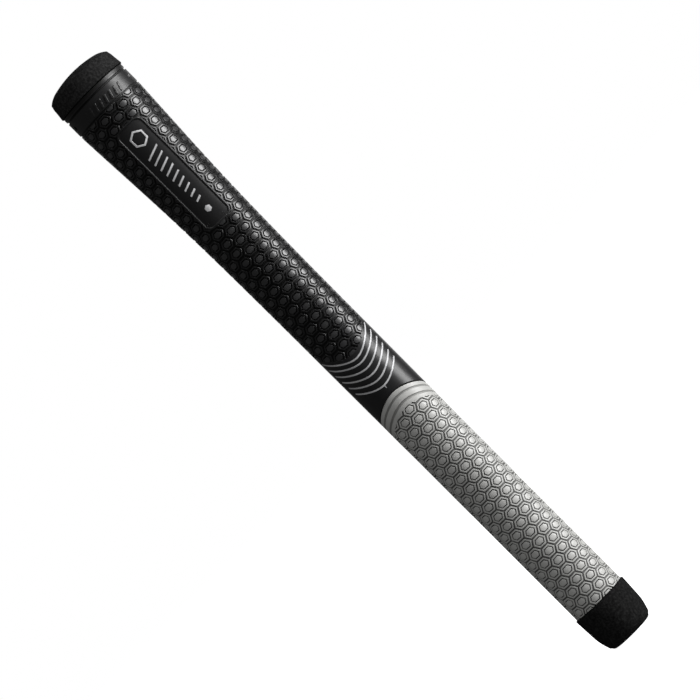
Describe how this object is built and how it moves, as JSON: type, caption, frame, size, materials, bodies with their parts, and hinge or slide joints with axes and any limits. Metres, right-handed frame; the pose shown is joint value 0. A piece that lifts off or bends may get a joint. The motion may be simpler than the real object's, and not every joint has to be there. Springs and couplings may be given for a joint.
{
  "type": "golf grip",
  "caption": "Tapered golf club grip with a domed butt cap, a black honeycomb upper skin, silver arcs, a grey honeycomb lower skin and a rounded mouth cap.",
  "frame": {"origin": "centre of the mouth's end face, where the club's shaft goes in", "axes": "+Z along the grip from the mouth to the butt, -Y out of the front, where the smooth panel is"},
  "size_m": [0.028, 0.028, 0.267],
  "materials": {
    "cap_rubber": "matte black moulded rubber",
    "sleeve_rubber": "matte black extruded rubber",
    "black_skin": "satin black polyurethane skin",
    "grey_skin": "satin warm grey polyurethane skin",
    "felt": "pale needled felt backing",
    "silver_paint": "silver grey paint fill"
  },
  "bodies": {
    "root": {"butt_cap": "cap_rubber", "mouth_cap": "cap_rubber", "underlisting": "sleeve_rubber", "upper_skin": "black_skin", "upper_felt": "felt", "lower_skin": "grey_skin", "lower_felt": "felt", "silver_arc_1": "silver_paint", "silver_arc_2": "silver_paint", "silver_arc_3": "silver_paint", "silver_arc_4": "silver_paint", "silver_arc_5": "silver_paint", "silver_arc_6": "silver_paint", "silver_tick": "silver_paint", "panel_hexagon": "silver_paint", "panel_bar_1": "silver_paint", "panel_bar_2": "silver_paint", "panel_bar_3": "silver_paint", "panel_bar_4": "silver_paint", "panel_bar_5": "silver_paint", "panel_bar_6": "silver_paint", "panel_bar_7": "silver_paint", "panel_bar_8": "silver_paint", "panel_bar_9": "silver_paint", "panel_end_mark": "silver_paint"}
  },
  "joints": []
}
